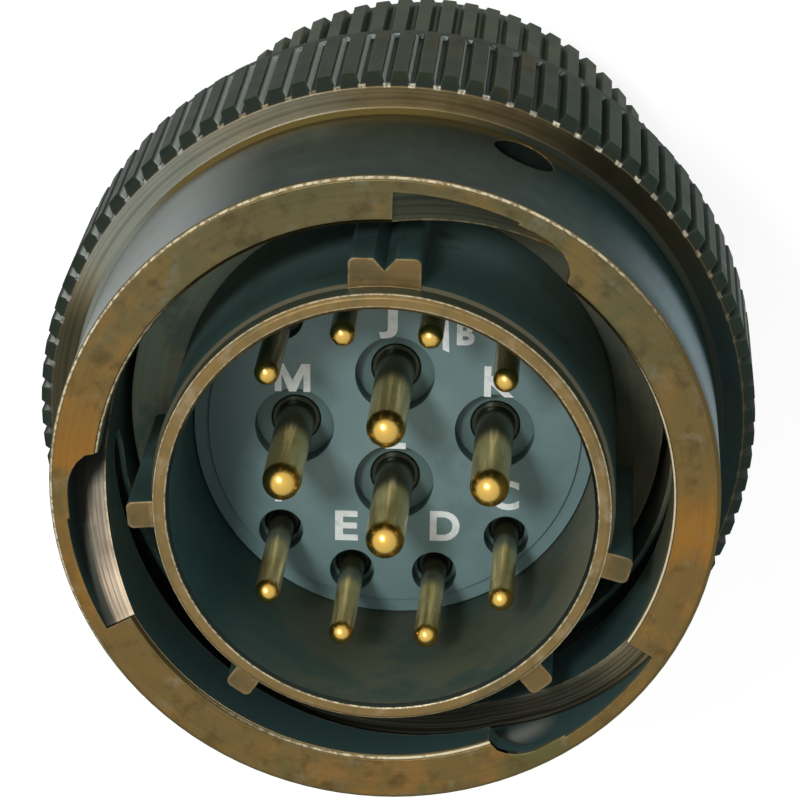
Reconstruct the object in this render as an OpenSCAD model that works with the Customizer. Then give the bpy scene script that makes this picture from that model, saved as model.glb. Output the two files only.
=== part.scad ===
// Circular bayonet cable connector: the plug half, with twelve pin contacts and a knurled coupling nut.
// Sizes are in millimetres. The plug stands on its rear end, +Z points to the mating end, and the main
// key is at +Y. Angles are clockwise from the main key, as seen from the mating end.

/* [Barrel and keys] */
// Radius of the barrel bore
barrel_bore_r = 8.4; // [8.2:0.05:9]
// Wall of the barrel
barrel_wall = 0.8; // [0.7:0.05:1.2]
// Height of the barrel rim above the insert face
barrel_reach = 8.85; // [7.6:0.05:10.5]
// Length of the slimmer lead-in at the rim
lead_len = 0.9; // [0.5:0.05:1.5]
// Depth of the lead-in step
lead_step = 0.15; // [0.1:0.05:0.3]
// Chamfer on the edges of the rim
rim_chamfer = 0.15; // [0.05:0.05:0.2]
// Height of the keys above the barrel
key_h = 1; // [0.6:0.05:1.4]
// Width of the main key
main_key_w = 2.85; // [2.2:0.05:3.4]
// Width of each minor key
minor_key_w = 1.1; // [0.8:0.05:1.4]
// Corner radius of the keys
key_round = 0.25; // [0.1:0.05:0.3]
// Width of the vee groove along the main key
key_vee_w = 0.9; // [0.5:0.05:1.2]
// Depth of the vee groove
key_vee_d = 0.5; // [0.3:0.05:0.6]

/* [Shell body] */
// Depth of the annular gap from the front of the coupling nut to the flange
gap_depth = 9; // [8:0.1:10]
// Width of the annular gap between the barrel and the nut
gap_w = 2.25; // [1.9:0.05:2.6]
// Thickness of the flange
flange_t = 1.6; // [1.2:0.1:2]
// Radial clearance of the flange in the nut
flange_clear = 0.3; // [0.2:0.05:0.5]
// Wall of the hub that carries the coupling nut
hub_wall = 1.5; // [1.3:0.05:1.7]
// Step from the hub down to the rear thread
thread_drop = 0.1; // [0.05:0.05:0.2]
// Wall of the threaded rear end
thread_wall = 0.9; // [0.75:0.05:1.05]
// Depth of the outer groove for the retaining ring
ring_groove_d = 0.5; // [0.3:0.05:0.6]
// Length of hub left behind the outer groove
hub_tail = 0.9; // [0.5:0.1:1.5]
// Depth of the inner groove for the insert ring
insert_groove_d = 0.35; // [0.2:0.05:0.45]

/* [Coupling nut] */
// Length of the smooth neck
neck_len = 8.4; // [8:0.1:9.2]
// Radius of the blend between the neck and the shoulder
neck_fillet = 0.3; // [0.2:0.05:0.6]
// Width of the shoulder from the neck to the tooth roots
shoulder_w = 1.2; // [0.9:0.05:1.4]
// Chamfer on the front edges of the nut
nut_chamfer = 0.16; // [0.1:0.02:0.3]
// Number of knurl teeth
knurl_teeth = 90; // [72:2:100]
// Height of the knurl teeth, here and on the back nut
tooth_h = 0.4; // [0.3:0.05:0.5]
// Chamfer on the ends of the teeth, as a share of their height: above 1 it cuts the roots too
tooth_chamfer = 1.25; // [1.15:0.05:1.4]
// Length of the knurled band
knurl_len = 6.7; // [6:0.1:7]
// Rise of the plain rear collar above the tooth roots
collar_rise = 0.2; // [0.1:0.05:0.25]
// Chamfer of the rear collar
collar_chamfer = 0.3; // [0.2:0.05:0.4]
// Length of the skirt that reaches past the knurl and the retaining ring
skirt_over = 1; // [0.8:0.05:1.2]
// Thickness of the inner lip that the nut turns on
lip_t = 1.6; // [1.3:0.1:2]
// Wall of the rear skirt under the teeth
skirt_wall = 2.6; // [2:0.1:3]
// Running clearance of the lip on the hub
run_clear = 0.05; // [0.02:0.01:0.08]

/* [Bayonet tracks] */
// Number of tracks
tracks = 3; // [2:1:3]
// Depth of the tracks into the wall
track_d = 1.25; // [1.1:0.05:1.5]
// Depth of their openings to the front
mouth_d = 1.15; // [0.9:0.05:1.2]
// Wall of the neck outside the tracks
neck_wall = 0.65; // [0.45:0.05:0.9]
// Width of the tracks
track_w = 2.4; // [2:0.1:2.5]
// Radius of the hole at the end of each track
hole_r = 1.3; // [1.25:0.05:1.45]
// Angle at which the first track starts
track_start = 1.2; // [0:0.1:10]
// Arc over which a track is open to the front
mouth_arc = 37; // [30:1:40]
// Arc of the rounded end of the opening
mouth_round_arc = 9; // [6:0.5:12]
// Arc from the start of a track to its end hole
track_arc = 141.5; // [120:0.5:150]
// Depth of the ramp where it starts
ramp_start_d = 0.2; // [0.1:0.05:0.5]
// Depth of the ramp where it passes under the front lip
ramp_mouth_d = 3.8; // [3.4:0.1:4.2]
// Depth of the end hole below the nut front
hole_depth = 6.5; // [5.8:0.1:6.8]

/* [Washers and rings] */
// Free height of the wave washer
wave_h = 1.3; // [1:0.05:1.6]
// Thickness of the wave washer
wave_t = 0.35; // [0.25:0.05:0.45]
// Number of waves
waves = 3; // [3:1:5]
// Thickness of the thrust washer
thrust_t = 0.5; // [0.3:0.05:0.8]
// Radial clearance of the washers on the hub and in the nut
washer_clear = 0.1; // [0.08:0.01:0.15]
// Thickness of the ring that retains the nut
ring_t = 0.9; // [0.7:0.05:1.1]
// Radial width of the ring that retains the nut
ring_w = 1.5; // [1.2:0.1:1.8]
// Opening of the split rings
ring_split = 24; // [12:2:40]
// Thickness of the split ring behind the insert
insert_ring_t = 0.9; // [0.7:0.05:1.1]
// Radial width of the split ring behind the insert
insert_ring_w = 1; // [0.8:0.05:1.1]
// Play between faces that bear on one another
face_play = 0.03; // [0.02:0.01:0.05]
// Radial play of the pieces held inside the shell
seat_play = 0.05; // [0.03:0.01:0.08]

/* [Inserts] */
// Length of the pin insert
insert_len = 13.4; // [12.5:0.1:14.5]
// Length of the flange at the rear of the pin insert
insert_flange_t = 2; // [1.5:0.1:2.4]
// Width of the lowered ring round the insert face
face_ring_w = 0.6; // [0.4:0.05:0.7]
// Drop of that ring below the insert face
face_ring_d = 0.15; // [0.05:0.05:0.3]
// Depth of the recess round each pin
recess_d = 0.9; // [0.6:0.1:1.4]
// Length of the contact wafer
wafer_len = 4.5; // [4:0.1:5]
// Length of the rear grommet
grommet_len = 6.5; // [6:0.1:7]
// Length of the grommet that stands out of the shell
grommet_out = 2; // [1.6:0.1:2.4]

/* [Contacts] */
// Radius of the circle of the small pins
small_circle_r = 6.68; // [6.5:0.02:6.8]
// Side of the rhombus of the large pins
large_pitch = 4.8; // [4.6:0.05:5]
// Height of the pin tips above the insert face
pin_reach = 6.75; // [6:0.05:6.8]
// Radius of the small pins
small_pin_r = 0.508; // [0.45:0.002:0.55]
// Radius of the large pins
large_pin_r = 0.794; // [0.72:0.002:0.85]
// Radius of the recess round each small pin
small_recess_r = 0.93; // [0.88:0.01:0.96]
// Radius of the recess round each large pin
large_recess_r = 1.65; // [1.5:0.05:1.75]
// Extra radius of the contact body inside the insert
body_step = 0.2; // [0.17:0.01:0.22]
// Extra radius of the wire barrel behind the insert
barrel_step = 0.26; // [0.22:0.02:0.3]
// Extra radius of the collar that holds a contact in
collar_step = 0.45; // [0.4:0.01:0.5]
// Thickness of that collar
collar_t = 1.2; // [0.8:0.1:1.5]
// Depth of the wire hole in the rear of a contact
wire_hole_d = 5; // [4:0.2:6]
// Wall of the wire barrel
wire_wall = 0.22; // [0.18:0.01:0.26]
// Length of a contact inside the grommet
contact_tail = 4; // [3:0.2:4.6]

/* [Back nut] */
// Radius of the cable entry
entry_r = 7.7; // [7.4:0.05:8.2]
// Length of the cable entry
entry_len = 2.4; // [2:0.1:3]
// Chamfer of the cable entry
entry_chamfer = 0.3; // [0.1:0.05:0.5]
// Thickness of the follower ring
follower_t = 1.6; // [1.2:0.1:2]
// Length of the back nut
back_len = 20.2; // [18:0.1:22]
// Clearance between the back nut and the hub of the shell
back_gap = 0.7; // [0.4:0.05:1.2]
// Wall of the back nut
back_wall = 1.05; // [0.9:0.05:1.4]
// Width of the flat rear end of the back nut
tail_w = 0.7; // [0.4:0.05:1.2]
// Radial play of the back nut on the thread
thread_play = 0.06; // [0.04:0.01:0.1]
// Number of grip teeth
grip_teeth = 72; // [60:2:80]
// Height of the grip above the back nut, below its teeth
grip_rise = 0.64; // [0.4:0.02:0.8]
// Distance of the grip from the rear end
grip_z = 5.05; // [4:0.05:6]
// Length of the grip
grip_len = 8.1; // [6:0.1:9]

/* [Hidden] */
$fn = 96;
eps = 0.01;

// Axial places, from the rear end up to the insert face
follower_z = entry_len + face_play;
grommet_z = follower_z + follower_t + face_play;
shell_rear_z = grommet_z + grommet_out;
insert_ring_z = grommet_z + grommet_len + face_play;
wafer_z = insert_ring_z + insert_ring_t + face_play;
insert_z = wafer_z + wafer_len + face_play;
insert_seat_z = insert_z + insert_flange_t;
face_z = insert_z + insert_len;

// Axial places of the mating end
rim_z = face_z + barrel_reach;
lead_z = rim_z - lead_len;

// Axial places, from the back nut up to the front of the coupling nut
hub_z = back_len + back_gap;
ring_z = hub_z + hub_tail + face_play;
lip_z = ring_z + ring_t + face_play;
lip_top_z = lip_z + lip_t;
thrust_z = lip_top_z + face_play;
wave_z = thrust_z + thrust_t + face_play;
flange_z = wave_z + wave_h + face_play;
flange_top_z = flange_z + flange_t;
nut_front_z = flange_top_z + gap_depth;
shoulder_z = nut_front_z - neck_len;
knurl_z = shoulder_z - knurl_len;
nut_rear_z = min(ring_z, knurl_z) - skirt_over;

// Radii of the shell
barrel_r = barrel_bore_r + barrel_wall;
lead_r = barrel_r - lead_step;
hub_r = barrel_bore_r + hub_wall;
thread_r = hub_r - thread_drop;
seat_r = thread_r - thread_wall;
ring_seat_r = hub_r - ring_groove_d;
insert_ring_seat_r = seat_r + insert_groove_d;

// Radii of the coupling nut
nut_bore_r = barrel_r + gap_w;
flange_r = nut_bore_r - flange_clear;
track_r = nut_bore_r + track_d;
neck_r = track_r + neck_wall;
root_r = neck_r + shoulder_w;
crest_r = root_r + tooth_h;
collar_r = root_r + collar_rise;
tooth_end = tooth_chamfer * tooth_h;
lip_bore_r = hub_r + run_clear;
skirt_r = root_r - skirt_wall;

// Radii of the back nut
thread_bore_r = thread_r + thread_play;
back_r = thread_bore_r + back_wall;
grip_r = back_r + grip_rise;
tail_r = entry_r + entry_chamfer + tail_w;

// Angles of the minor keys
minor_keys = [105, 140, 215, 265];

// Contacts: node name, angle, and whether the contact is one of the large ones in the rhombus
contacts = [["contact_a", 15, false], ["contact_b", 45, false], ["contact_c", 135, false],
            ["contact_d", 165, false], ["contact_e", 195, false], ["contact_f", 225, false],
            ["contact_g", 315, false], ["contact_h", 345, false], ["contact_j", 0, true],
            ["contact_k", 90, true], ["contact_l", 180, true], ["contact_m", 270, true]];

function polar(r, a) = [r * sin(a), r * cos(a)];
function rhombus_r(a) = a % 180 == 0 ? large_pitch / 2 : large_pitch * sqrt(3) / 2;
function spot(c) = polar(c[2] ? rhombus_r(c[1]) : small_circle_r, c[1]);
function pin_r(c) = c[2] ? large_pin_r : small_pin_r;
function recess_r(c) = c[2] ? large_recess_r : small_recess_r;
function arc(centre, r, from, to, steps = 8) =
    [for (i = [0 : steps]) let (t = from + (to - from) * i / steps) centre + r * [cos(t), sin(t)]];

// Outline of a ring of straight teeth on a pitch: at the root a tooth is foot_w of the pitch wide, and at the
// crest tip_w of it. The flanks run on past the crest, so that a round blank gives the crests.
function teeth(n, root, foot_w = 0.84, tip_w = 0.58) =
    let (over_w = 2 * tip_w - foot_w)
        [for (i = [0 : n - 1], k = [[root, -foot_w], [root + 2 * tooth_h, -over_w],
                                    [root + 2 * tooth_h, over_w], [root, foot_w]])
            polar(k[0], 360 / n * (i + k[1] / 2))];

// The gaps between the teeth, from one height to another, to be cut out of a round blank
module tooth_gaps(n, root, from, to) {
    translate([0, 0, from])
        linear_extrude(to - from)
            difference() {
                circle(r = root + 3 * tooth_h);
                polygon(teeth(n, root));
            }
}

// Outlines of the chamfered front end and rear end of a band of teeth, at height z
function band_front(root, z) = [[root + tooth_h - tooth_end, z], [root + tooth_h, z - tooth_end]];
function band_rear(root, z) = [[root + tooth_h, z + tooth_end], [root + tooth_h - tooth_end, z]];

// A key on the barrel with rounded outer corners, centred at +Y
module key_outline(w) {
    top = barrel_r + key_h;
    foot = barrel_r - barrel_wall / 2;
    translate([-w / 2, foot])
        square([w, top - key_round - foot]);
    translate([-w / 2 + key_round, foot])
        square([w - 2 * key_round, top - foot]);
    for (side = [-1, 1])
        translate([side * (w / 2 - key_round), top - key_round])
            circle(r = key_round);
}

module key(angle, w, vee = false) {
    rotate(-angle)
        translate([0, 0, flange_top_z - eps])
            linear_extrude(lead_z - flange_top_z + eps)
                difference() {
                    key_outline(w);
                    if (vee)
                        translate([0, barrel_r + key_h])
                            polygon([[0, -key_vee_d], [key_vee_w, key_vee_d], [-key_vee_w, key_vee_d]]);
                }
}

module shell() {
    edge = rim_chamfer;
    color("darkolivegreen") {
        rotate_extrude()
            polygon([[barrel_bore_r + edge, rim_z], [barrel_bore_r, rim_z - edge],
                     [barrel_bore_r, insert_seat_z], [seat_r, insert_seat_z],
                     [seat_r, wafer_z], [insert_ring_seat_r, wafer_z],
                     [insert_ring_seat_r, insert_ring_z - face_play], [seat_r, insert_ring_z - face_play],
                     [seat_r, shell_rear_z], [thread_r - thread_drop, shell_rear_z],
                     [thread_r, shell_rear_z + thread_drop], [thread_r, hub_z],
                     [hub_r, hub_z + thread_drop], [hub_r, ring_z - face_play],
                     [ring_seat_r, ring_z - face_play], [ring_seat_r, ring_z + ring_t + face_play / 2],
                     [hub_r, ring_z + ring_t + face_play / 2], [hub_r, flange_z],
                     [flange_r, flange_z], [flange_r, flange_top_z], [barrel_r, flange_top_z],
                     [barrel_r, lead_z - lead_step], [lead_r, lead_z],
                     [lead_r, rim_z - edge], [lead_r - edge, rim_z]]);
        key(0, main_key_w, true);
        for (angle = minor_keys)
            key(angle, minor_key_w);
    }
}

// Depth of the ramp below the nut front, at an angle from the start of a track
function ramp_d(a) = a < mouth_arc
    ? ramp_start_d + (ramp_mouth_d - ramp_start_d) * a / mouth_arc
    : ramp_mouth_d + (hole_depth + track_w / 2 - ramp_mouth_d) * (a - mouth_arc) / (track_arc - mouth_arc);

// Outer radius of the opening to the front, drawn in through the bore at its rounded end
function mouth_r(a) =
    let (t = max(0, (a - mouth_arc + mouth_round_arc) / mouth_round_arc), in_r = nut_bore_r - mouth_d / 4)
        in_r + (nut_bore_r + mouth_d - in_r) * sqrt(max(0, 1 - t * t));

// A cut swept round the axis: at each angle a rectangle from inside the bore to outer, and from low to high
module swept_cut(angles, outer, low, high) {
    inner = nut_bore_r - gap_w / 2;
    last = 4 * (len(angles) - 1);
    points = [for (i = [0 : len(angles) - 1], p = [[inner, low[i]], [outer[i], low[i]],
                                                   [outer[i], high[i]], [inner, high[i]]])
        concat(polar(p[0], angles[i]), [p[1]])];
    sides = [for (i = [0 : 4 : last - 4], k = [0 : 3], half = [0, 1])
        let (a = i + k, b = i + (k + 1) % 4)
            half == 0 ? [a, a + 4, b + 4] : [a, b + 4, b]];
    polyhedron(points, concat([[0, 1, 2, 3]], sides, [[last + 3, last + 2, last + 1, last]]));
}

// One bayonet track: the ramp, the opening above it to the front, and the hole at its end
module bayonet_track(steps = 24) {
    mouth = [for (i = [0 : steps]) mouth_arc * i / steps];
    turn = concat(mouth, [for (i = [1 : steps]) mouth_arc + (track_arc - mouth_arc) * i / steps]);
    swept_cut(turn, [for (a = turn) track_r], [for (a = turn) nut_front_z - ramp_d(a)],
              [for (a = turn) nut_front_z - ramp_d(a) + track_w]);
    swept_cut(mouth, [for (a = mouth) mouth_r(a)], [for (a = mouth) nut_front_z - ramp_d(a) + track_w / 2],
              [for (a = mouth) nut_front_z + 2 * track_w]);
    rotate(-track_arc)
        translate([0, nut_bore_r - gap_w / 2, nut_front_z - hole_depth])
            rotate([-90, 0, 0])
                cylinder(r = hole_r, h = neck_r);
}

module coupling_nut() {
    blend = arc([neck_r + neck_fillet, shoulder_z + neck_fillet], neck_fillet, 180, 270);
    color("darkolivegreen")
        difference() {
            rotate_extrude()
                polygon(concat([[nut_bore_r, nut_front_z - nut_chamfer],
                                [nut_bore_r + nut_chamfer, nut_front_z],
                                [neck_r - nut_chamfer, nut_front_z], [neck_r, nut_front_z - nut_chamfer]],
                               blend, band_front(root_r, shoulder_z),
                               [[crest_r, knurl_z + crest_r - collar_r], [collar_r, knurl_z],
                                [collar_r, nut_rear_z + collar_chamfer],
                                [collar_r - collar_chamfer, nut_rear_z],
                                [skirt_r, nut_rear_z], [skirt_r, lip_z], [lip_bore_r, lip_z],
                                [lip_bore_r, lip_top_z], [nut_bore_r, lip_top_z]]));
            tooth_gaps(knurl_teeth, root_r, knurl_z - collar_rise, shoulder_z + tooth_h);
            for (i = [0 : tracks - 1])
                rotate(-track_start - 360 / tracks * i)
                    bayonet_track();
        }
}

// Height of the middle of the wave washer at an angle
function wave(a) = wave_z + wave_h / 2 + (wave_h - wave_t) / 2 * cos(waves * a);

module wave_washer(steps = 72) {
    inner = hub_r + washer_clear;
    outer = flange_r;
    n = 4 * steps;
    points = [for (i = [0 : steps - 1], p = [[inner, -1], [outer, -1], [outer, 1], [inner, 1]])
        let (a = 360 / steps * i) concat(polar(p[0], a), [wave(a) + p[1] * wave_t / 2])];
    faces = [for (i = [0 : 4 : n - 4], k = [0 : 3], half = [0, 1])
        let (a = i + k, b = i + (k + 1) % 4)
            half == 0 ? [a, (a + 4) % n, (b + 4) % n] : [a, (b + 4) % n, b]];
    color("silver")
        polyhedron(points, faces);
}

module thrust_washer() {
    color("silver")
        translate([0, 0, thrust_z])
            linear_extrude(thrust_t)
                difference() {
                    circle(r = nut_bore_r - washer_clear);
                    circle(r = hub_r + washer_clear);
                }
}

// A flat ring with an opening at the angle of the main key
module split_ring(inner, outer, z, t) {
    translate([0, 0, z])
        rotate(90 + ring_split / 2)
            rotate_extrude(angle = 360 - ring_split)
                translate([inner, 0])
                    square([outer - inner, t]);
}

module retaining_ring() {
    inner = ring_seat_r + seat_play;
    color("silver")
        split_ring(inner, inner + ring_w, ring_z, ring_t);
}

module insert_ring() {
    outer = insert_ring_seat_r - seat_play;
    color("silver")
        split_ring(outer - insert_ring_w, outer, insert_ring_z, insert_ring_t);
}

module pin_insert() {
    r = barrel_bore_r - seat_play;
    color("slategray")
        difference() {
            union() {
                translate([0, 0, insert_z])
                    cylinder(r = r, h = insert_len - face_ring_d);
                translate([0, 0, insert_z])
                    cylinder(r = r - face_ring_w, h = insert_len);
                translate([0, 0, insert_z])
                    cylinder(r = seat_r - seat_play, h = insert_flange_t - face_play);
            }
            for (c = contacts)
                translate(spot(c)) {
                    translate([0, 0, face_z - recess_d])
                        cylinder(r = recess_r(c), h = recess_d + eps);
                    translate([0, 0, insert_z - eps])
                        cylinder(r = pin_r(c) + body_step + seat_play, h = insert_len);
                    translate([0, 0, insert_z - eps])
                        cylinder(r = pin_r(c) + collar_step + seat_play, h = collar_t + face_play + eps);
                }
        }
}

module contact_wafer() {
    color("saddlebrown")
        translate([0, 0, wafer_z])
            linear_extrude(wafer_len)
                difference() {
                    circle(r = seat_r - seat_play);
                    for (c = contacts)
                        translate(spot(c))
                            circle(r = pin_r(c) + barrel_step + seat_play);
                }
}

module grommet() {
    color("darkslategray")
        difference() {
            translate([0, 0, grommet_z])
                cylinder(r = seat_r - seat_play, h = grommet_len);
            for (c = contacts)
                translate(spot(c)) {
                    translate([0, 0, grommet_z + grommet_len - contact_tail - face_play])
                        cylinder(r = pin_r(c) + barrel_step + seat_play, h = contact_tail + face_play + eps);
                    translate([0, 0, grommet_z - eps])
                        cylinder(r = pin_r(c) + barrel_step - wire_wall, h = grommet_len);
                }
        }
}

module follower() {
    color("silver")
        rotate_extrude()
            polygon([[entry_r, follower_z], [thread_r, follower_z], [thread_r, follower_z + follower_t],
                     [entry_r + follower_t / 2, follower_z + follower_t],
                     [entry_r, follower_z + follower_t / 2]]);
}

module back_nut() {
    color("darkolivegreen")
        difference() {
            rotate_extrude()
                polygon(concat([[entry_r, entry_chamfer], [entry_r, entry_len], [thread_bore_r, entry_len],
                                [thread_bore_r, back_len], [back_r - entry_chamfer, back_len],
                                [back_r, back_len - entry_chamfer], [back_r, grip_z + grip_len]],
                               band_front(grip_r, grip_z + grip_len), band_rear(grip_r, grip_z),
                               [[back_r, grip_z], [back_r, back_r - tail_r], [tail_r, 0],
                                [entry_r + entry_chamfer, 0]]));
            tooth_gaps(grip_teeth, grip_r, grip_z - tooth_h, grip_z + grip_len + tooth_h);
        }
}

// A contact: pin with a round tip, body in the insert, collar, and wire barrel
module contact(c) {
    r = pin_r(c);
    tail_z = grommet_z + grommet_len - contact_tail;
    color("goldenrod")
        translate(spot(c))
            difference() {
                union() {
                    translate([0, 0, face_z + pin_reach - r])
                        sphere(r = r);
                    translate([0, 0, insert_z])
                        cylinder(r = r, h = insert_len + pin_reach - r);
                    translate([0, 0, insert_z])
                        cylinder(r = r + body_step, h = insert_len - recess_d);
                    translate([0, 0, insert_z])
                        cylinder(r = r + collar_step, h = collar_t);
                    translate([0, 0, tail_z])
                        cylinder(r = r + barrel_step, h = insert_z - tail_z + collar_t / 2);
                }
                translate([0, 0, tail_z - eps])
                    cylinder(r = r + barrel_step - wire_wall, h = wire_hole_d + eps);
            }
}

shell();
coupling_nut();
wave_washer();
thrust_washer();
retaining_ring();
pin_insert();
contact_wafer();
insert_ring();
grommet();
follower();
back_nut();
for (c = contacts)
    contact(c);
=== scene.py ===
import math

import bpy
from mathutils import Matrix, Vector


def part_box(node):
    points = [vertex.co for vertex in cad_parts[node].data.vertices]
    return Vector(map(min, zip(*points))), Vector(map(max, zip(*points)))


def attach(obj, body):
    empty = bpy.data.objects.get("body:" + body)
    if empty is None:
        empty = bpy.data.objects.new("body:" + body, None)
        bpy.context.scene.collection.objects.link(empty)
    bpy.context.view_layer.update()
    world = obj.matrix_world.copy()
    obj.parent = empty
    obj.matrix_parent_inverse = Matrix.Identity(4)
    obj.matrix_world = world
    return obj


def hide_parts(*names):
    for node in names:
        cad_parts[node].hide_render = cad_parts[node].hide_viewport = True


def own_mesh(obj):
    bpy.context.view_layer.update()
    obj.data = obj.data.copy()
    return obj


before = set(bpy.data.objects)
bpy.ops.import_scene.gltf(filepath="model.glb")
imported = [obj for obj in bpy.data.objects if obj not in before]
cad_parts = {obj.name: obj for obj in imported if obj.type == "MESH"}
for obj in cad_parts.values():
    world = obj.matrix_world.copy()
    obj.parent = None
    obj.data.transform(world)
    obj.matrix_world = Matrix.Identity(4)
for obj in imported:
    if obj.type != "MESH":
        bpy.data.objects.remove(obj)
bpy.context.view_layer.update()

MM = 0.001
scene = bpy.context.scene


def top_of(name):
    """The height of a CAD node's top, in millimetres."""
    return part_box(name)[1].z / MM


# Heights up the connector's axis, in millimetres
FACE_Z = top_of("pin_insert")
RIM_Z = top_of("shell")
LEAD_Z = RIM_Z - 0.9             # where the slimmer lead-in of the barrel's rim starts
NUT_FRONT_Z = top_of("coupling_nut")
SHOULDER_Z = NUT_FRONT_Z - 8.4
KNURL_REAR_Z = SHOULDER_Z - 6.7
GAP_FLOOR_Z = NUT_FRONT_Z - 9.0
HOLE_TOP_Z = NUT_FRONT_Z - 5.2   # the front edge of the holes at the ends of the bayonet tracks

# Radii round that axis, in millimetres
BARREL_BORE_R = 8.4
LEAD_R = 9.05
BARREL_R = 9.2
NUT_BORE_R = 11.45
TRACK_R = 12.7
NECK_R = 13.35
ROOT_R = 14.55                   # of the coupling nut's teeth
CREST_R = 14.95

NUT_TEETH = 90
RAMP_FALL = 5.54                 # millimetres that a bayonet ramp falls over one radian
PATCH_SHIFT = (7.3, 3.1, 5.7)    # millimetres between the noise of one layer of patches and the next


def srgb(red, green, blue):
    """A colour given in screen values from 0 to 255, as linear RGBA."""
    def linear(c):
        c /= 255
        return c / 12.92 if c <= 0.04045 else ((c + 0.055) / 1.055) ** 2.4
    return (linear(red), linear(green), linear(blue), 1)


DARK_GREEN = srgb(40, 46, 40)
BARE_EDGE = srgb(184, 166, 128)
BARE_KNURL_EDGE = srgb(112, 116, 102)


class Graph:
    """A material's node tree. Most calls add one node and give back its main output.

    Places are in millimetres. r is the distance from the connector's axis, and angle runs clockwise round it
    in degrees, from the main key at 0. up, outward and sideways say how far a surface faces along the axis,
    away from it and clockwise round it.
    """

    def __init__(self, name):
        self.material = bpy.data.materials.new(name)
        self.material.use_nodes = True
        self.tree = self.material.node_tree
        self.tree.nodes.clear()
        place = self.add("TexCoord").outputs
        self.place = self.vector("SCALE", place["Object"], Scale=1 / MM)
        self.x, self.y, self.z = self.split(self.place)
        self.r = self.math("SQRT", self.math("ADD", self.times(self.x, self.x), self.times(self.y, self.y)))
        nx, ny, self.up = self.split(place["Normal"])
        reach = self.math("MAXIMUM", self.r, 0.01)
        along = self.math("ADD", self.times(self.x, nx), self.times(self.y, ny))
        self.outward = self.math("DIVIDE", along, reach)
        across = self.math("SUBTRACT", self.times(self.y, nx), self.times(self.x, ny))
        self.sideways = self.math("DIVIDE", across, reach)
        self.angle = self.times(self.math("ARCTAN2", self.x, self.y), 180 / math.pi)
        self.helix = None

    def add(self, kind, inputs=(), **settings):
        """A new node; its inputs are given by name or number, as values or as other nodes' outputs."""
        node = self.tree.nodes.new("ShaderNode" + kind)
        for key, value in settings.items():
            setattr(node, key, value)
        for key, value in dict(inputs).items():
            if isinstance(value, bpy.types.NodeSocket):
                self.tree.links.new(value, node.inputs[key])
            else:
                node.inputs[key].default_value = value
        return node

    def math(self, operation, *values):
        return self.add("Math", enumerate(values), operation=operation).outputs[0]

    def vector(self, operation, *values, **named):
        inputs = {**dict(enumerate(values)), **named}
        return self.add("VectorMath", inputs, operation=operation).outputs["Vector"]

    def split(self, vector):
        return self.add("SeparateXYZ", {0: vector}).outputs

    def join(self, x, y, z):
        return self.add("CombineXYZ", {0: x, 1: y, 2: z}).outputs[0]

    def times(self, *values):
        out = values[0]
        for value in values[1:]:
            out = self.math("MULTIPLY", out, value)
        return out

    def either(self, a, b):
        return self.math("MAXIMUM", a, b)

    def rise(self, value, low, high):
        """0 below low, 1 above high and smooth between."""
        inputs = {"Value": value, "From Min": low, "From Max": high}
        return self.add("MapRange", inputs, interpolation_type="SMOOTHSTEP").outputs["Result"]

    def fall(self, value, low, high):
        """1 below low, 0 above high and smooth between."""
        inputs = {"Value": value, "From Min": low, "From Max": high, "To Min": 1.0, "To Max": 0.0}
        return self.add("MapRange", inputs, interpolation_type="SMOOTHSTEP").outputs["Result"]

    def within(self, value, low, high, soft):
        """1 from low to high, with soft ends."""
        return self.times(self.rise(value, low - soft, low + soft),
                          self.fall(value, high - soft, high + soft))

    def sector(self, start, end, soft):
        """1 from one angle to another, with soft ends."""
        return self.within(self.angle, start, end, soft)

    def spread(self, value, low, high):
        """A value from 0 to 1 moved to the span from low to high."""
        return self.add("MapRange", {"Value": value, "To Min": low, "To Max": high}).outputs["Result"]

    def mix(self, share, a, b, blend="MIX"):
        return self.add("Mix", {0: share, 6: a, 7: b}, data_type="RGBA", blend_type=blend).outputs[2]

    def mix_value(self, share, a, b):
        return self.add("Mix", {0: share, 2: a, 3: b}, data_type="FLOAT").outputs[0]

    def tint(self, colour, red, green, blue):
        return self.mix(1.0, colour, (red, green, blue, 1), "MULTIPLY")

    def noise(self, scale, detail=3, rough=0.55, vector=None):
        inputs = {"Vector": vector or self.place, "Scale": scale, "Detail": detail, "Roughness": rough}
        return self.add("TexNoise", inputs).outputs[0]

    def turned(self, pitch, bend=3.2):
        """Fine tool lines round the axis, about a pitch apart, which fade in and out."""
        drift = self.times(self.noise(0.12, detail=1), bend)
        line = self.join(self.times(self.r, 1 / pitch), self.times(self.z, 1 / pitch), drift)
        return self.noise(1.0, detail=3, rough=0.6, vector=line)

    def edges(self, reach):
        """1 on convex edges, 0 a reach away from them."""
        node = self.add("AmbientOcclusion", {"Distance": reach * MM}, samples=6, inside=True, only_local=True)
        return self.math("SUBTRACT", 1.0, node.outputs["AO"])

    def helix_normal(self):
        """The normal of a ramp that falls clockwise round the axis, free of facets."""
        fall = self.math("DIVIDE", RAMP_FALL, self.times(self.r, self.r))
        lean = self.join(self.times(self.y, fall), self.times(self.x, fall, -1.0), 1.0)
        turn = self.add("VectorTransform", {0: lean}, vector_type="NORMAL", convert_from="OBJECT",
                        convert_to="WORLD")
        return self.vector("NORMALIZE", turn.outputs[0])

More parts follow.
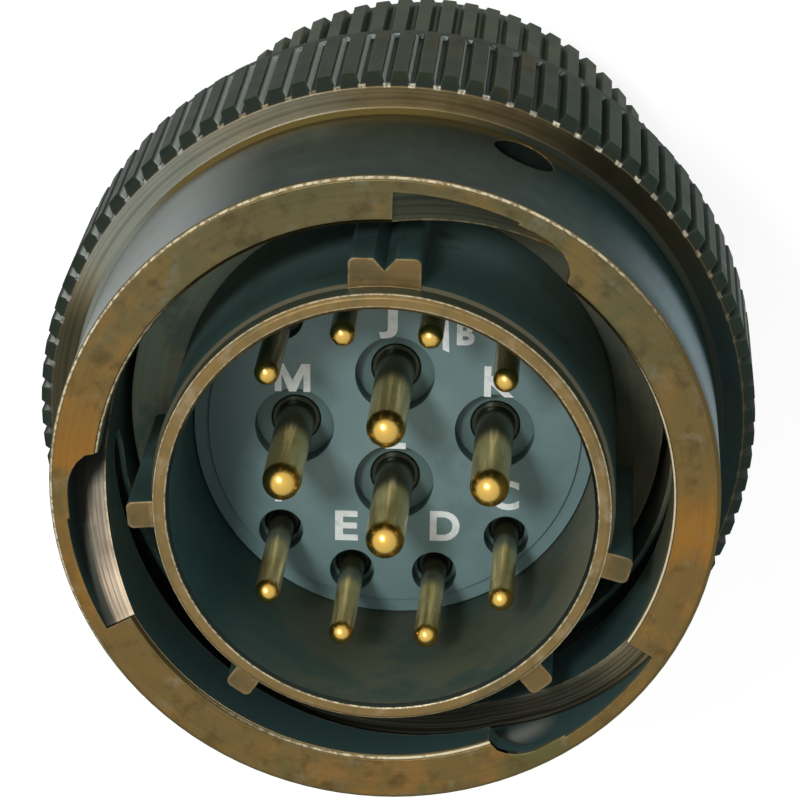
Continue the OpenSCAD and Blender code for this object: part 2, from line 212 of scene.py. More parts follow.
    def finish(self, base, roughness, bump, strength, depth, bevel=0.0, **sockets):
        """Adds the shader, with the bump's depth and the bevel's radius in millimetres."""
        feed = {"Height": bump, "Strength": strength, "Distance": depth * MM}
        if bevel:
            feed["Normal"] = self.add("Bevel", {"Radius": bevel * MM}, samples=4).outputs[0]
        if self.helix is not None:
            smooth = {0: self.helix, 4: feed["Normal"], 5: self.helix_normal()}
            feed["Normal"] = self.add("Mix", smooth, data_type="VECTOR").outputs[1]
        inputs = {"Base Color": base, "Roughness": roughness, "Normal": self.add("Bump", feed).outputs[0]}
        for name, value in sockets.items():
            inputs[name.replace("_", " ")] = value
        shader = self.add("BsdfPrincipled", inputs)
        self.add("OutputMaterial", {"Surface": shader.outputs[0]})
        return self.material


def mottle(g, plain, *patches):
    """A plain colour with soft patches, each given by its colour, its scale and the limits of its noise."""
    colour = plain
    for i, (other, scale, low, high) in enumerate(patches):
        place = g.vector("ADD", g.place, tuple(i * shift for shift in PATCH_SHIFT))
        patch = g.rise(g.noise(scale, detail=4, rough=0.6, vector=place), low, high)
        colour = g.mix(patch, colour, other)
    return colour


def brown_gold(g):
    """Mottled plating on the faces towards the mating end, in a brown-gold that is painted reflection of
    bright light.
    """
    return mottle(g, srgb(120, 100, 61),
                  (srgb(141, 107, 60), 0.42, 0.46, 0.64), (srgb(104, 98, 62), 0.3, 0.5, 0.66),
                  (srgb(132, 119, 90), 0.75, 0.54, 0.74), (srgb(102, 84, 52), 1.1, 0.5, 0.72))


def dark_green(g, side):
    """Mottled plating on the sides, in a dark green that is painted reflection of dark surroundings."""
    return mottle(g, side, (srgb(54, 53, 40), 0.25, 0.5, 0.7), (srgb(28, 36, 35), 0.4, 0.5, 0.7))


def bore_tone(g):
    """Painted light and shade in a bore: a teal shade tint on its left, lit olive on its right and at its
    foot, palest on the right.
    """
    olive = mottle(g, srgb(90, 95, 79), (srgb(66, 84, 78), 0.3, 0.45, 0.65))
    right_and_foot = g.either(g.rise(g.angle, 40, 85), g.fall(g.angle, -176, -118))
    tone = g.mix(right_and_foot, srgb(44, 73, 73), olive)
    return g.mix(g.sector(70, 118, 15), tone, srgb(114, 112, 92))


def plated(name, zones, side=DARK_GREEN):
    """Olive plating with worn edges. Its brown-gold faces towards the mating end and dark green sides are
    painted reflection: a lit and a shaded tone of the one plating.

    Each zone paints its part of the piece, and may change where the edges are worn, where the surface is deep
    in a bore and shows less metal, and where it is dull and shows none.
    """
    g = Graph(name)
    g.line = g.turned(pitch=0.1)
    g.chips = g.rise(g.noise(5.0, detail=3, rough=0.6), 0.38, 0.6)
    g.wear = g.spread(g.rise(g.noise(1.9, detail=4, rough=0.65), 0.38, 0.6), 0.05, 0.4)
    g.wear_colour = BARE_EDGE
    g.deep = g.fall(g.outward, -0.95, -0.8)
    g.dull = None
    # Painted reflection: lit brown-gold on the faces towards the mating end, shaded dark green on the sides
    colour = g.mix(g.rise(g.up, 0.45, 0.8), dark_green(g, side), brown_gold(g))
    # Painted light and shade in the bores
    colour = g.mix(g.deep, colour, bore_tone(g))
    for zone in zones:
        colour = zone(g, colour)
    shade = g.math("ADD", 0.8, g.times(g.line, 0.4))
    colour = g.mix(1.0, colour, g.join(shade, shade, shade), "MULTIPLY")
    colour = g.mix(g.times(g.rise(g.edges(reach=0.14), 0.1, 0.4), g.wear), colour, g.wear_colour)
    rough = g.spread(g.noise(0.9, detail=4), 0.28, 0.5)
    metal = g.spread(g.deep, 1.0, 0.2)
    gloss = 0.08
    if g.dull is not None:
        metal = g.times(metal, g.spread(g.dull, 1.0, 0.0))
        gloss = g.spread(g.dull, gloss, 0.01)
    return g.finish(colour, rough, bump=g.line, strength=0.25, depth=0.012, bevel=0.07, Metallic=metal,
                    Specular_Tint=(0.44, 0.48, 0.46, 1), Specular_IOR_Level=gloss)


def neck_zone(g, colour):
    """The coupling nut's smooth neck in dark teal, a painted reflection of dark surroundings, greener on the
    right in painted shade, with a painted sheen at either side and a warm painted reflection of the shoulder
    at its foot near the main key.
    """
    neck = g.times(g.rise(g.outward, 0.4, 0.75), g.within(g.r, NECK_R - 0.35, NECK_R + 0.35, 0.1),
                   g.within(g.z, SHOULDER_Z + 0.05, NUT_FRONT_Z - 0.2, 0.02))
    teal = mottle(g, srgb(33, 42, 37), (srgb(40, 49, 44), 0.2, 0.45, 0.7), (srgb(41, 41, 32), 0.3, 0.5, 0.7))
    # Painted shade: greener teal on the right side
    teal = g.mix(g.sector(27, 145, 15), teal, srgb(28, 49, 47))
    # Painted sheen, where the neck is seen edge-on: pale grey at the upper left, blue-grey on the right
    sheen = g.rise(g.add("LayerWeight", {"Blend": 0.5}).outputs["Facing"], 0.5, 0.75)
    teal = g.mix(g.times(sheen, g.sector(-92, -31, 12)), teal, srgb(138, 143, 142))
    stripe = g.within(g.z, SHOULDER_Z + 3.15, NUT_FRONT_Z - 1.05, 1.2)
    teal = g.mix(g.times(sheen, g.sector(50, 114, 14), stripe), teal, srgb(116, 136, 144))
    # Painted reflection of the brown shoulder at the neck's foot near the main key
    foot = g.fall(g.z, SHOULDER_Z + 0.3, SHOULDER_Z + 1.6)
    teal = g.mix(g.times(foot, g.sector(-40, 34, 12), 0.75), teal, srgb(92, 78, 44))
    g.deep = g.either(g.deep, g.times(neck, 0.6))
    g.wear = g.times(g.wear, g.spread(neck, 1.0, 0.1))
    return g.mix(neck, colour, teal)


def shoulder_zone(g, colour):
    """The coupling nut's shoulder, with turned lines, painted highlights at the upper left, darker at the
    lower left and in painted shade on its right side, and the fillet at the neck, with a painted highlight.
    """
    shoulder = g.times(g.rise(g.up, 0.9, 0.97), g.within(g.z, SHOULDER_Z - 0.1, SHOULDER_Z + 0.12, 0.03))
    step = mottle(g, srgb(122, 108, 78), (srgb(132, 118, 92), 0.16, 0.48, 0.62),
                  (srgb(104, 92, 64), 0.3, 0.5, 0.66))
    # Painted highlights: cream and pale grey at the upper left
    step = g.mix(g.sector(-40, -10, 8), step, srgb(136, 130, 114))
    step = g.mix(g.sector(-66, -34, 9), step, srgb(130, 134, 124))
    # Darker towards the lower left
    step = g.mix(g.sector(-150, -69, 7), step, srgb(62, 60, 46))
    lines = g.times(g.rise(g.turned(pitch=0.13, bend=1.6), 0.42, 0.6), 0.7)
    step = g.mix(lines, step, g.tint(step, 1.6, 1.55, 1.5))
    # Painted shade: dark brown, then teal, on the right side
    brown = mottle(g, srgb(48, 46, 34), (srgb(38, 43, 35), 0.3, 0.45, 0.65))
    step = g.mix(g.sector(22, 150, 16), step, brown)
    step = g.mix(g.sector(62, 145, 12), step, srgb(33, 44, 42))
    colour = g.mix(shoulder, colour, step)
    fillet = g.times(g.within(g.up, 0.15, 0.97, 0.02), g.rise(g.z, SHOULDER_Z + 0.003, SHOULDER_Z + 0.02),
                     g.fall(g.z, SHOULDER_Z + 0.67, SHOULDER_Z + 0.73),
                     g.fall(g.r, NECK_R + 0.65, NECK_R + 0.75))
    # Painted highlight on the fillet: warm near the main key, grey at the upper left, dark elsewhere
    bend = g.mix(g.sector(-50, 12, 12), srgb(40, 44, 38), srgb(92, 80, 44))
    bend = g.mix(g.sector(-80, -48, 8), bend, srgb(112, 116, 108))
    g.dull = fillet
    return g.mix(fillet, colour, bend)


def knurl_teeth(g, colour):
    """The coupling nut's dark teeth, with a painted highlight on the flanks that face clockwise, strongest at
    the upper left, and greener crests on the right in painted shade.
    """
    band = g.times(g.rise(g.r, ROOT_R - 0.15, ROOT_R - 0.05),
                   g.fall(g.z, SHOULDER_Z - 0.03, SHOULDER_Z + 0.03))
    crest = mottle(g, srgb(42, 50, 38), (srgb(35, 44, 36), 0.3, 0.45, 0.65),
                   (srgb(55, 49, 36), 0.5, 0.48, 0.7))
    right = mottle(g, srgb(38, 51, 43), (srgb(33, 45, 39), 0.4, 0.45, 0.65))
    left = mottle(g, srgb(37, 45, 37), (srgb(31, 40, 34), 0.4, 0.45, 0.65))
    # Painted shade: greener crests on the right. Slightly darker crests at the upper left
    crest = g.mix(g.sector(30, 145, 15), crest, right)
    crest = g.mix(g.sector(-110, -14, 14), crest, left)
    tooth = g.mix(g.rise(g.r, ROOT_R + 0.05, CREST_R - 0.05), DARK_GREEN, crest)
    # Painted highlight: pale flanks facing clockwise, strongest at the upper left
    flank_highlight = g.times(g.rise(g.sideways, 0.2, 0.6), g.fall(g.r, ROOT_R + 0.17, CREST_R - 0.05),
                    g.spread(g.sector(-86, 22, 15), 0.2, 1.0))
    tooth = g.mix(flank_highlight, tooth, srgb(172, 180, 170))
    g.dull = g.either(g.dull, band)
    g.wear = g.times(g.wear, g.spread(band, 1.0, 0.5))
    g.wear_colour = g.mix(band, g.wear_colour, BARE_KNURL_EDGE)
    return g.mix(band, colour, tooth)


def knurl_glints(g, colour):
    """Painted glints: bright spots at either end of the gaps between the coupling nut's teeth, broken up in
    patches.
    """
    half_pitch = 180 / NUT_TEETH
    gap = g.rise(g.math("PINGPONG", g.angle, half_pitch), 0.65 * half_pitch, 0.8 * half_pitch)
    front = g.times(gap, g.within(g.r, ROOT_R - 0.15, ROOT_R + 0.02, 0.03),
                    g.within(g.z, SHOULDER_Z - 0.2, SHOULDER_Z + 0.06, 0.03))
    glint = g.mix(g.sector(-150, -33, 8), srgb(146, 132, 104), srgb(150, 150, 150))
    glint = g.mix(g.sector(-6, 52, 10), glint, srgb(206, 200, 178))
    sides = g.either(g.sector(66, 150, 12), g.sector(-150, -82, 8))
    shown = g.times(front, g.spread(sides, 1.0, 0.15), g.spread(g.chips, 0.25, 0.95))
    colour = g.mix(shown, colour, glint)
    rear = g.times(g.rise(g.up, 0.6, 0.8), g.fall(g.z, KNURL_REAR_Z + 0.25, KNURL_REAR_Z + 0.55),
                   g.rise(g.r, ROOT_R - 0.05, ROOT_R))
    return g.mix(g.times(rear, g.spread(g.chips, 0.2, 0.9)), colour, srgb(176, 184, 184))


def ramp_look(g, tooled):
    """Tool-marked ramps: bare worn metal on the ramp at the left, with a painted highlight near its step that
    fades along it and painted shade along its outer wall; plating on the other two, the top one darkening
    towards its hole in painted shade.
    """
    streak = g.rise(tooled, 0.35, 0.65)
    dull = g.mix(streak, srgb(52, 55, 46), srgb(70, 71, 57))
    dull = g.mix(g.fall(g.z, NUT_FRONT_Z - 3.45, NUT_FRONT_Z - 2.25), dull, srgb(104, 86, 54))
    # Painted shade: the top ramp darkens towards its hole
    dull = g.mix(g.fall(g.z, HOLE_TOP_Z + 0.25, HOLE_TOP_Z + 0.85), dull, srgb(34, 38, 33))
    # Bare worn metal, brightest near the step as painted highlight, fading along the ramp
    bare = g.mix(streak, srgb(104, 92, 78), srgb(170, 154, 134))
    bare = g.mix(g.rise(g.angle, -113, -104), bare, g.mix(streak, srgb(62, 58, 50), srgb(98, 89, 78)))
    bare = g.mix(g.rise(g.angle, -100, -88), bare, srgb(46, 49, 45))
    # Painted shade along the ramp's outer wall, under the lip
    bare = g.mix(g.rise(g.r, TRACK_R - 0.7, TRACK_R - 0.2), bare, srgb(46, 48, 43))
    past_foot = g.fall(g.angle, -160, -150)
    foot = g.either(g.rise(g.angle, 126, 138), past_foot)
    brown = g.mix(streak, srgb(70, 64, 48), srgb(124, 114, 92))
    brown = g.mix(foot, brown, g.mix(streak, srgb(52, 50, 40), srgb(88, 88, 76)))
    upper = g.mix(g.sector(-155, -45, 5), dull, bare)
    return g.mix(g.either(g.rise(g.angle, 80, 90), past_foot), upper, brown)


def nut_bore(g, colour):
    """The coupling nut's bore, with the bayonet tracks and the holes at their ends: teal walls as a painted
    shade tint, darker towards the bottom and paler olive on the right as painted light, painted shade on the
    left track's outer wall and in the holes, and a painted gleam low on the right.
    """
    inside = g.times(g.fall(g.z, NUT_FRONT_Z - 0.3, NUT_FRONT_Z - 0.2),
                     g.fall(g.r, NECK_R - 0.05, NECK_R - 0.01))
    # Painted shade tint: teal walls
    wall = mottle(g, srgb(78, 110, 105), (srgb(84, 98, 86), 0.3, 0.5, 0.7))
    lower = mottle(g, srgb(64, 90, 89), (srgb(70, 82, 74), 0.3, 0.5, 0.7))
    wall = g.mix(g.rise(g.math("ABSOLUTE", g.angle), 90, 130), wall, lower)
    # Painted light: paler olive on the right
    wall = g.mix(g.sector(62, 108, 14), wall, srgb(116, 114, 92))
    wall = g.mix(g.sector(20, 50, 8), wall, srgb(112, 96, 60))
    # Painted shade on the left track's outer wall
    shaded_left_track = g.times(g.sector(-112, -84, 5), g.rise(g.r, TRACK_R - 0.4, TRACK_R - 0.2))
    wall = g.mix(shaded_left_track, wall, srgb(44, 60, 58))
    colour = g.mix(inside, colour, wall)
    # Painted shade: the holes and the ends of the tracks are dark
    track_end = g.times(g.rise(g.r, NUT_BORE_R + 0.15, NUT_BORE_R + 0.25),
                        g.fall(g.z, HOLE_TOP_Z - 0.15, HOLE_TOP_Z + 0.05))
    hole = g.times(inside, g.either(g.rise(g.r, TRACK_R + 0.04, TRACK_R + 0.1), track_end))
    colour = g.mix(hole, colour, srgb(24, 29, 26))
    g.wear = g.times(g.wear, g.spread(hole, 1.0, 0.1))
    ramp = g.times(g.rise(g.up, 0.5, 0.75), g.within(g.r, NUT_BORE_R - 0.95, TRACK_R + 0.02, 0.02),
                   g.rise(g.z, HOLE_TOP_Z - 0.65, HOLE_TOP_Z - 0.15),
                   g.fall(g.z, NUT_FRONT_Z - 0.18, NUT_FRONT_Z - 0.12))
    rings = g.join(g.times(g.r, 7), 0.0, g.noise(0.3, detail=1))
    tooled = g.noise(1.0, detail=2, rough=0.6, vector=rings)
    colour = g.mix(ramp, colour, ramp_look(g, tooled))
    g.line = g.mix_value(ramp, g.line, tooled)
    g.helix = ramp
    g.deep = g.times(g.either(g.deep, inside), g.spread(ramp, 1.0, 0.6))
    gleam = g.times(inside, g.sector(149, 158, 4), g.within(g.z, NUT_FRONT_Z - 2.95, NUT_FRONT_Z - 1.65, 0.7),
                    g.fall(g.up, 0.2, 0.5), 0.8)
    return g.mix(gleam, colour, srgb(176, 176, 168))


def nut_front(g, colour):
    """The coupling nut's front ring: cooler at the top, rusty at the sides, with bright lines along its
    edges, partly worn metal and partly painted highlight where the edges face the light.
    """
    face = g.times(g.rise(g.up, 0.9, 0.97), g.rise(g.z, NUT_FRONT_Z - 0.06, NUT_FRONT_Z - 0.03))
    colour = g.mix(g.times(face, g.sector(-62, 66, 16)), colour, g.tint(colour, 0.72, 0.9, 1.14))
    rust = g.times(g.either(g.sector(-112, -74, 12), g.sector(88, 112, 8)), face,
                   g.spread(g.rise(g.noise(0.5, detail=3), 0.4, 0.6), 0.1, 0.8))
    colour = g.mix(rust, colour, srgb(156, 110, 50))
    lip = g.times(g.within(g.up, 0.55, 0.85, 0.05), g.within(g.z, NUT_FRONT_Z - 0.16, NUT_FRONT_Z, 0.01))
    colour = g.mix(lip, colour, srgb(104, 88, 54))
    slots = g.times(g.rise(g.z, NUT_FRONT_Z - 1.5, NUT_FRONT_Z - 1.0),
                    g.within(g.r, NUT_BORE_R + 0.2, NECK_R - 0.25, 0.05))
    g.wear = g.times(g.wear, g.spread(lip, 1.0, 0.1), g.spread(slots, 1.0, 0.35))
    # Bright edge lines, chipped like worn metal, placed as painted highlight where the edges catch the light
    outer = g.times(g.within(g.r, NECK_R - 0.12, NECK_R - 0.04, 0.02), g.sector(-118, 48, 14))
    right = g.sector(60, 200, 12)
    left = g.either(g.sector(-92, -50, 12), g.fall(g.angle, -180, -126))
    inner = g.times(g.within(g.r, NUT_BORE_R + 0.04, NUT_BORE_R + 0.12, 0.02), g.either(right, left))
    g.chips = g.either(g.chips, g.times(inner, right, g.rise(g.noise(0.9, detail=2), 0.3, 0.5)))
    g.deep = g.either(g.deep, g.times(lip, inner))
    bright = g.times(lip, g.either(outer, inner), g.spread(g.chips, 0.25, 1.0))
    return g.mix(bright, colour, srgb(230, 218, 186))


def gap_zone(g, colour):
    """The outside of the shell's barrel and the floor of the gap round it. Painted light lifts the shaded
    barrel deep in the gap and the floor, and painted shade darkens the floor on the right.
    """
    barrel = g.times(g.fall(g.up, 0.2, 0.4), g.rise(g.z, GAP_FLOOR_Z, GAP_FLOOR_Z + 0.1))
    outside = g.times(barrel, g.rise(g.outward, -0.6, -0.4))
    # Painted light and shade even out the barrel: paler deep in the gap, where it is in shade, darker near
    # the rim, where it is lit
    skin = g.mix(g.rise(g.z, GAP_FLOOR_Z + 3.15, RIM_Z - 1.8), srgb(102, 130, 126), srgb(56, 78, 75))
    skin = g.mix(g.rise(g.z, LEAD_Z - 0.03, LEAD_Z + 0.05), skin, srgb(60, 64, 50))
    colour = g.mix(outside, colour, mottle(g, skin, (srgb(60, 74, 66), 0.3, 0.55, 0.75)))
    floor = g.times(g.rise(g.up, 0.5, 0.8), g.within(g.z, GAP_FLOOR_Z - 0.2, GAP_FLOOR_Z + 0.2, 0.05))
    # Painted light: a pale floor, with painted shade on its right side
    olive = mottle(g, srgb(156, 170, 150), (srgb(164, 158, 130), 0.3, 0.48, 0.68),
                   (srgb(120, 140, 130), 0.35, 0.5, 0.7))
    right = mottle(g, srgb(92, 92, 76), (srgb(76, 82, 72), 0.3, 0.48, 0.68))
    olive = g.mix(g.sector(15, 155, 15), olive, right)
    g.deep = g.either(g.either(g.deep, barrel), floor)
    return g.mix(floor, colour, olive)


def rim_zone(g, colour):
    """The shell's rim and the ends of its keys, with bright lines along the rim's edges and painted shade on
    the inner slope at the sides and the bottom.
    """
    gold = mottle(g, srgb(138, 115, 74), (srgb(114, 102, 70), 0.6, 0.45, 0.7),
                  (srgb(156, 138, 106), 0.9, 0.52, 0.72))
    gold = g.mix(g.rise(g.r, BARREL_R + 0.05, BARREL_R + 0.15), gold, g.tint(gold, 0.74, 0.74, 0.78))
    face = g.times(g.rise(g.up, 0.8, 0.95), g.rise(g.z, LEAD_Z - 0.2, LEAD_Z - 0.1))
    colour = g.mix(face, colour, gold)
    slope = g.times(g.within(g.up, 0.5, 0.85, 0.05), g.rise(g.z, LEAD_Z - 0.2, LEAD_Z - 0.15))
    ledge = g.mix(g.fall(g.z, LEAD_Z + 0.05, LEAD_Z + 0.1), gold, srgb(98, 94, 78))
    # Painted shade: the inner slope is dark at the sides and the bottom
    shaded_lower_bore = g.times(g.fall(g.r, BARREL_BORE_R + 0.2, BARREL_BORE_R + 0.25),
                         g.rise(g.math("ABSOLUTE", g.angle), 40, 80))
    colour = g.mix(slope, colour, g.mix(shaded_lower_bore, ledge, srgb(44, 50, 44)))
    edges = g.either(g.within(g.r, BARREL_BORE_R + 0.12, BARREL_BORE_R + 0.17, 0.015),
                     g.within(g.r, LEAD_R - 0.05, LEAD_R - 0.01, 0.015))
    bright = g.times(g.rise(g.z, RIM_Z - 0.2, RIM_Z - 0.16), edges, g.spread(g.chips, 0.25, 0.9))
    g.wear = g.times(g.wear, g.spread(slope, 1.0, 0.15))
    return g.mix(bright, colour, srgb(216, 206, 176))


def grip_zone(g, colour):
    """The knurled grip of the back nut, dull like the coupling nut's."""
    grip = g.rise(g.outward, 0.1, 0.3)
    g.dull = grip
    g.wear = g.times(g.wear, g.spread(grip, 1.0, 0.3))
    g.wear_colour = g.mix(grip, g.wear_colour, BARE_KNURL_EDGE)
    green = mottle(g, srgb(57, 64, 51), (srgb(51, 59, 48), 0.3, 0.4, 0.7),
                   (srgb(64, 68, 53), 0.5, 0.45, 0.75))
    return g.mix(grip, colour, green)


def insert_material():
    """Blue-grey moulded resin, with a painted shadow at its left edge and painted shade in the recesses round
    the pins.
    """
    g = Graph("insert_resin")
    colour = mottle(g, srgb(101, 129, 131), (srgb(111, 138, 140), 0.28, 0.4, 0.7),
                    (srgb(90, 117, 121), 0.5, 0.5, 0.75))
    speck = g.rise(g.noise(6.0, detail=2, rough=0.5), 0.68, 0.76)
    colour = g.mix(g.times(speck, 0.35), colour, srgb(148, 166, 168))
    # Painted shadow of the barrel's wall at the insert's left edge
    left_shadow = g.fall(g.x, -7.6, -4.8)
    colour = g.mix(g.times(left_shadow, 0.8), colour, srgb(62, 88, 90))
    # Painted shade in the recesses round the pins
    recess_shade = g.fall(g.z, FACE_Z - 0.55, FACE_Z - 0.2)
    colour = g.mix(recess_shade, colour, srgb(82, 108, 106))
    rough = g.spread(g.noise(1.1, detail=3), 0.42, 0.6)
    return g.finish(colour, rough, bump=g.noise(9.0, detail=3), strength=0.12, depth=0.02, bevel=0.04)


def gold_material():
    """Gold plating on the pins, scratched lengthwise, darker low on the shank and below the insert face in
    painted shade, with a painted shadow on the pins of the top row, and a bright tip.
    """
    g = Graph("contact_gold")
    colour = mottle(g, srgb(228, 200, 124), (srgb(206, 176, 100), 0.8, 0.45, 0.7))
    lengthwise = g.join(g.times(g.x, 9), g.times(g.y, 9), g.times(g.z, 0.5))
    scratch = g.noise(1.0, detail=3, rough=0.6, vector=lengthwise)
    colour = g.mix(g.rise(scratch, 0.5, 0.7), colour, srgb(248, 224, 158))
    # Painted shade: darker low on the shank
    colour = g.mix(g.fall(g.z, FACE_Z + 1.5, FACE_Z + 2.7), colour, srgb(116, 113, 86))
    # Painted shadow on the pins of the top row, in the barrel's shadow
    shaded_top_row = g.rise(g.y, 3.4, 4.0)
    colour = g.mix(g.times(shaded_top_row, 0.5), colour, srgb(84, 80, 56))
    # Painted shade below the insert face
    colour = g.mix(g.fall(g.z, FACE_Z - 0.5, FACE_Z), colour, srgb(52, 56, 46))
    tip = g.times(g.rise(g.up, 0.04, 0.2), g.rise(g.z, FACE_Z + 2, FACE_Z + 3))
    colour = g.mix(tip, colour, srgb(234, 192, 100))
    rough = g.mix_value(tip, g.spread(scratch, 0.16, 0.32), 0.24)
    metal = g.spread(tip, 0.84, 1.0)
    smooth = g.mix_value(tip, scratch, 0.5)
    return g.finish(colour, rough, bump=smooth, strength=0.04, depth=0.006, bevel=0.15, Metallic=metal)


def steel_material():
    """Spring steel with turned lines, on the washers and the rings."""
    g = Graph("spring_steel")
    line = g.turned(pitch=0.06)
    colour = g.mix(line, srgb(120, 120, 116), srgb(186, 186, 180))
    rough = g.spread(line, 0.25, 0.4)
    return g.finish(colour, rough, bump=line, strength=0.2, depth=0.01, bevel=0.05, Metallic=1.0)


def rubber_material(name, dark, light, rough):
    """Rubber or plastic of two mixed tones, with a fine grain."""
    g = Graph(name)
    colour = g.mix(g.rise(g.noise(0.6, detail=4), 0.35, 0.7), dark, light)
    roughness = g.spread(g.noise(2.0, detail=2), rough - 0.08, rough + 0.08)
    grain = g.noise(7.0, detail=4, rough=0.65)
    return g.finish(colour, roughness, bump=grain, strength=0.2, depth=0.03, bevel=0.06)


def print_material():
    """Slightly uneven white print."""
    g = Graph("contact_marks")
    colour = g.mix(g.rise(g.noise(3.0, detail=3), 0.45, 0.7), srgb(232, 238, 238), srgb(208, 218, 220))
    rough = g.spread(g.noise(4.0, detail=2), 0.5, 0.65)
    return g.finish(colour, rough, bump=g.noise(9.0, detail=2), strength=0.1, depth=0.01)


def dress():
    """Gives each CAD node its material."""
    gold = gold_material()
    steel = steel_material()
    nut_zones = [neck_zone, shoulder_zone, knurl_teeth, knurl_glints, nut_bore, nut_front]
    looks = {
        "coupling_nut": plated("nut_plating", nut_zones),
        "shell": plated("shell_plating", [gap_zone, rim_zone], side=srgb(36, 43, 41)),
        "back_nut": plated("back_nut_plating", [grip_zone]),
        "follower": plated("follower_plating", []),
        "pin_insert": insert_material(),
        "contact_wafer": rubber_material("wafer_plastic", srgb(64, 48, 32), srgb(88, 68, 46), 0.45),
        "grommet": rubber_material("grommet_rubber", srgb(70, 76, 76), srgb(94, 100, 98), 0.62),
    }
    for name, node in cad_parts.items():
        look = looks.get(name, gold if name.startswith("contact_") else steel)
        for slot in node.material_slots:
            slot.material = look


def sprung_washer():
    """The wave washer as a piece of its own, attached to the plug."""
    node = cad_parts["wave_washer"]
    washer = bpy.data.objects.new("sprung_wave_washer", node.data.copy())
    scene.collection.objects.link(washer)
    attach(washer, "plug")
    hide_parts("wave_washer")
    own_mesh(washer)


# Letters beside the contacts: text, place on the insert face in millimetres, turn in degrees, height in
# millimetres and width factor
MARKS = [("A", 1.84, 4.21, -22, 1.15, 1.0), ("B", 2.86, 4.24, 0, 0.92, 1.0),
         ("C", 4.65, -2.9, 0, 1.2, 1.0), ("D", 2.12, -4.39, 0, 1.25, 1.0),
         ("E", -2.02, -4.5, 0, 1.25, 1.16), ("F", -4.64, -2.85, 0, 1.2, 1.0),
         ("G", -3.3, 6.05, 0, 0.75, 1.0), ("H", -2.2, 4.1, 0, 0.75, 1.0),
         ("J", -0.11, 5.0, 0, 1.25, 1.4), ("K", 4.2, 2.15, 0, 1.25, 1.0),
         ("L", 0.0, -0.29, 0, 1.25, 1.0), ("M", -4.24, 2.14, 0, 1.23, 1.0)]
# The left half of the M: its outer side and its notch, then its foot, as shares of its height
M_LEFT = [(-0.6, -0.5), (-0.6, 0.5), (-0.3, 0.5), (0.0, -0.1)]
M_FOOT = [(-0.12, -0.5), (-0.37, 0.12), (-0.37, -0.5)]
FONT_SIZE = 1.45        # of the font, for capitals one millimetre high
STROKE_GROWTH = 0.055   # millimetres that the font's strokes are thickened by on each side
INK = 0.012             # half the thickness of the print, in millimetres
INK_LIFT = 0.01         # of the print's middle above the insert face, in millimetres


def mirrored(points):
    """The points of a left half as a right half, in the opposite order."""
    return [(-x, y) for x, y in reversed(points)]


def letter_curve(text, height):
    """One letter as a filled curve; the M is drawn from listed points, as the font's own is too thin."""
    if text == "M":
        curve = bpy.data.curves.new("mark_m", "CURVE")
        curve.dimensions = "2D"
        curve.fill_mode = "BOTH"
        points = M_LEFT + mirrored(M_LEFT[:-1]) + mirrored(M_FOOT) + M_FOOT
        spline = curve.splines.new("POLY")
        spline.points.add(len(points) - 1)
        for point, (x, y) in zip(spline.points, points):
            point.co = (x * height * MM, y * height * MM, 0, 1)
        spline.use_cyclic_u = True
        return curve
    curve = bpy.data.curves.new("mark_" + text.lower(), "FONT")
    curve.body = text
    curve.align_x = "CENTER"
    curve.align_y = "CENTER"
    curve.size = height * FONT_SIZE * MM
    curve.offset = STROKE_GROWTH * MM
    curve.resolution_u = 6
    return curve


def letter_marks():
    """Generic contact letters, printed on the insert face."""
    look = print_material()
    for text, x, y, turn, height, width in MARKS:
        curve = letter_curve(text, height)
        curve.extrude = INK * MM
        curve.materials.append(look)
        mark = bpy.data.objects.new("mark_" + text.lower(), curve)
        scene.collection.objects.link(mark)
        mark.location = Vector((x, y, FACE_Z + INK_LIFT)) * MM
        mark.rotation_euler[2] = math.radians(turn)
        mark.scale[0] = width
        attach(mark, "plug")


# The photograph's view: turns in degrees, the insert face's place before the camera in millimetres, the lens
VIEW_TILT = 21.265
VIEW_YAW = -3.101
VIEW_ROLL = -0.613
FACE_FROM_CAMERA = Vector((-0.231, -1.191, -152.974))
PHOTO_WIDTH = 800       # pixels
FOCAL_LENGTH = 3688.2   # pixels
SENSOR_WIDTH = 36       # millimetres


def photo_camera():
    """The camera at the photograph's view."""
    tilt = Matrix.Rotation(math.radians(VIEW_TILT), 3, "X")
    yaw = Matrix.Rotation(math.radians(VIEW_YAW), 3, "Y")
    roll = Matrix.Rotation(math.radians(VIEW_ROLL), 3, "Z")
    data = bpy.data.cameras.new("camera")
    data.sensor_width = SENSOR_WIDTH
    data.lens = FOCAL_LENGTH * SENSOR_WIDTH / PHOTO_WIDTH
    data.clip_start = 0.01
    data.clip_end = 20
    camera = bpy.data.objects.new("camera", data)
    scene.collection.objects.link(camera)
    turn = (roll @ tilt @ yaw).transposed()
    place = (turn @ -FACE_FROM_CAMERA + Vector((0, 0, FACE_Z))) * MM
    camera.matrix_world = Matrix.Translation(place) @ turn.to_4x4()
    scene.camera = camera


FLOOR_REACH = 3                    # metres from the middle to each side
FLOOR_TONE = (0.8, 0.8, 0.8, 1)
SHADOW_TONE = (0.3, 0.3, 0.3, 1)   # the part of the white that a shadow darkens
FLOOR_GLOW = 0.78                  # the part that it leaves


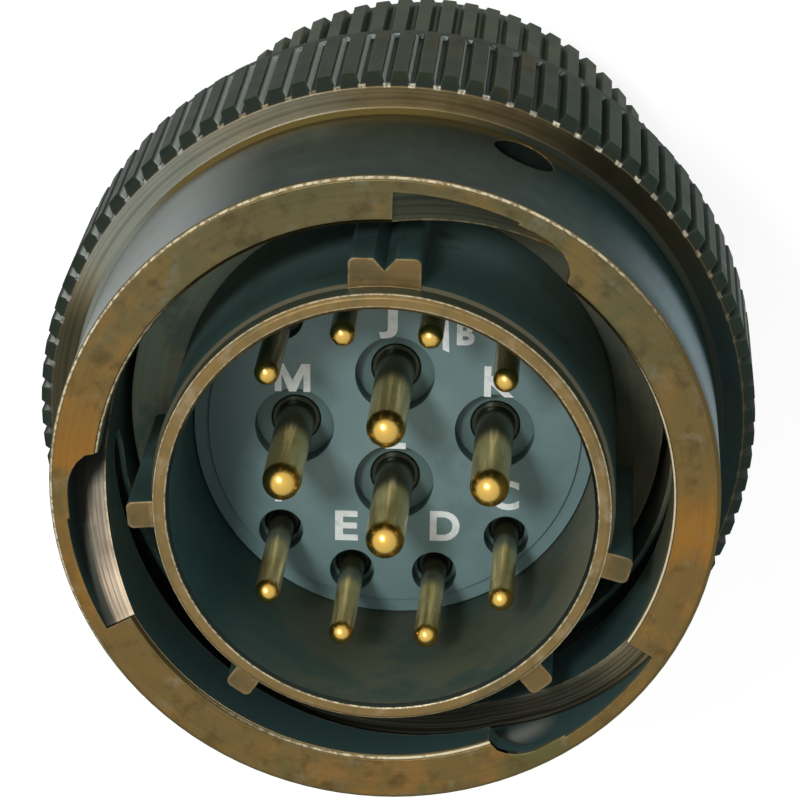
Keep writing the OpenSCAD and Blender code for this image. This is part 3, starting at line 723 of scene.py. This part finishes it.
def white_floor():
    """A floor that is white to the camera and in reflections, and still takes the object's shadow."""
    mesh = bpy.data.meshes.new("floor")
    corners = [(-FLOOR_REACH, -FLOOR_REACH, 0), (FLOOR_REACH, -FLOOR_REACH, 0),
               (FLOOR_REACH, FLOOR_REACH, 0), (-FLOOR_REACH, FLOOR_REACH, 0)]
    mesh.from_pydata(corners, [], [(0, 1, 2, 3)])
    floor = bpy.data.objects.new("floor", mesh)
    scene.collection.objects.link(floor)
    g = Graph("floor_white")
    path = g.add("LightPath").outputs
    seen = g.either(g.either(path["Is Camera Ray"], path["Is Glossy Ray"]), path["Is Transmission Ray"])
    plain = g.add("BsdfDiffuse", {"Color": FLOOR_TONE}).outputs[0]
    shadowed = g.add("BsdfDiffuse", {"Color": SHADOW_TONE}).outputs[0]
    glow = g.add("Emission", {"Strength": FLOOR_GLOW}).outputs[0]
    white = g.add("AddShader", {0: shadowed, 1: glow}).outputs[0]
    g.add("OutputMaterial", {"Surface": g.add("MixShader", {0: seen, 1: plain, 2: white}).outputs[0]})
    mesh.materials.append(g.material)


SKY_SIDE = Vector((-0.3, 0.4, 0.86))   # where the sky is lightest
SKY_DIM = (0.62, 0.66, 0.68, 1)
SKY_LIGHT = (0.95, 0.93, 0.88, 1)


def studio_world():
    """A soft sky, lighter towards the top left."""
    world = bpy.data.worlds.new("studio")
    scene.world = world
    world.use_nodes = True
    tree = world.node_tree
    tree.nodes.clear()
    place = tree.nodes.new("ShaderNodeTexCoord")
    lean = tree.nodes.new("ShaderNodeVectorMath")
    lean.operation = "DOT_PRODUCT"
    lean.inputs[1].default_value = SKY_SIDE.normalized()
    ramp = tree.nodes.new("ShaderNodeValToRGB")
    ramp.color_ramp.elements[0].color = SKY_DIM
    ramp.color_ramp.elements[1].color = SKY_LIGHT
    back = tree.nodes.new("ShaderNodeBackground")
    out = tree.nodes.new("ShaderNodeOutputWorld")
    tree.links.new(place.outputs["Generated"], lean.inputs[0])
    tree.links.new(lean.outputs["Value"], ramp.inputs[0])
    tree.links.new(ramp.outputs[0], back.inputs[0])
    tree.links.new(back.outputs[0], out.inputs[0])


# The key light: where it stands as seen from the object, its distance and width in metres, its power in watts
KEY_DIRECTION = Vector((-0.24, 0.4, 0.88))
KEY_DISTANCE = 0.6
KEY_WIDTH = 0.1
KEY_POWER = 1.6
KEY_AIM = Vector((0, 0, 0.03))


def key_light():
    """A small round lamp above the top left."""
    data = bpy.data.lights.new("key", "AREA")
    data.shape = "DISK"
    data.size = KEY_WIDTH
    data.energy = KEY_POWER
    light = bpy.data.objects.new("key", data)
    scene.collection.objects.link(light)
    light.location = KEY_AIM + KEY_DIRECTION.normalized() * KEY_DISTANCE
    light.rotation_euler = KEY_DIRECTION.to_track_quat("Z", "Y").to_euler()


photo_camera()
dress()
sprung_washer()
letter_marks()
white_floor()
studio_world()
key_light()
scene.view_settings.view_transform = "Standard"
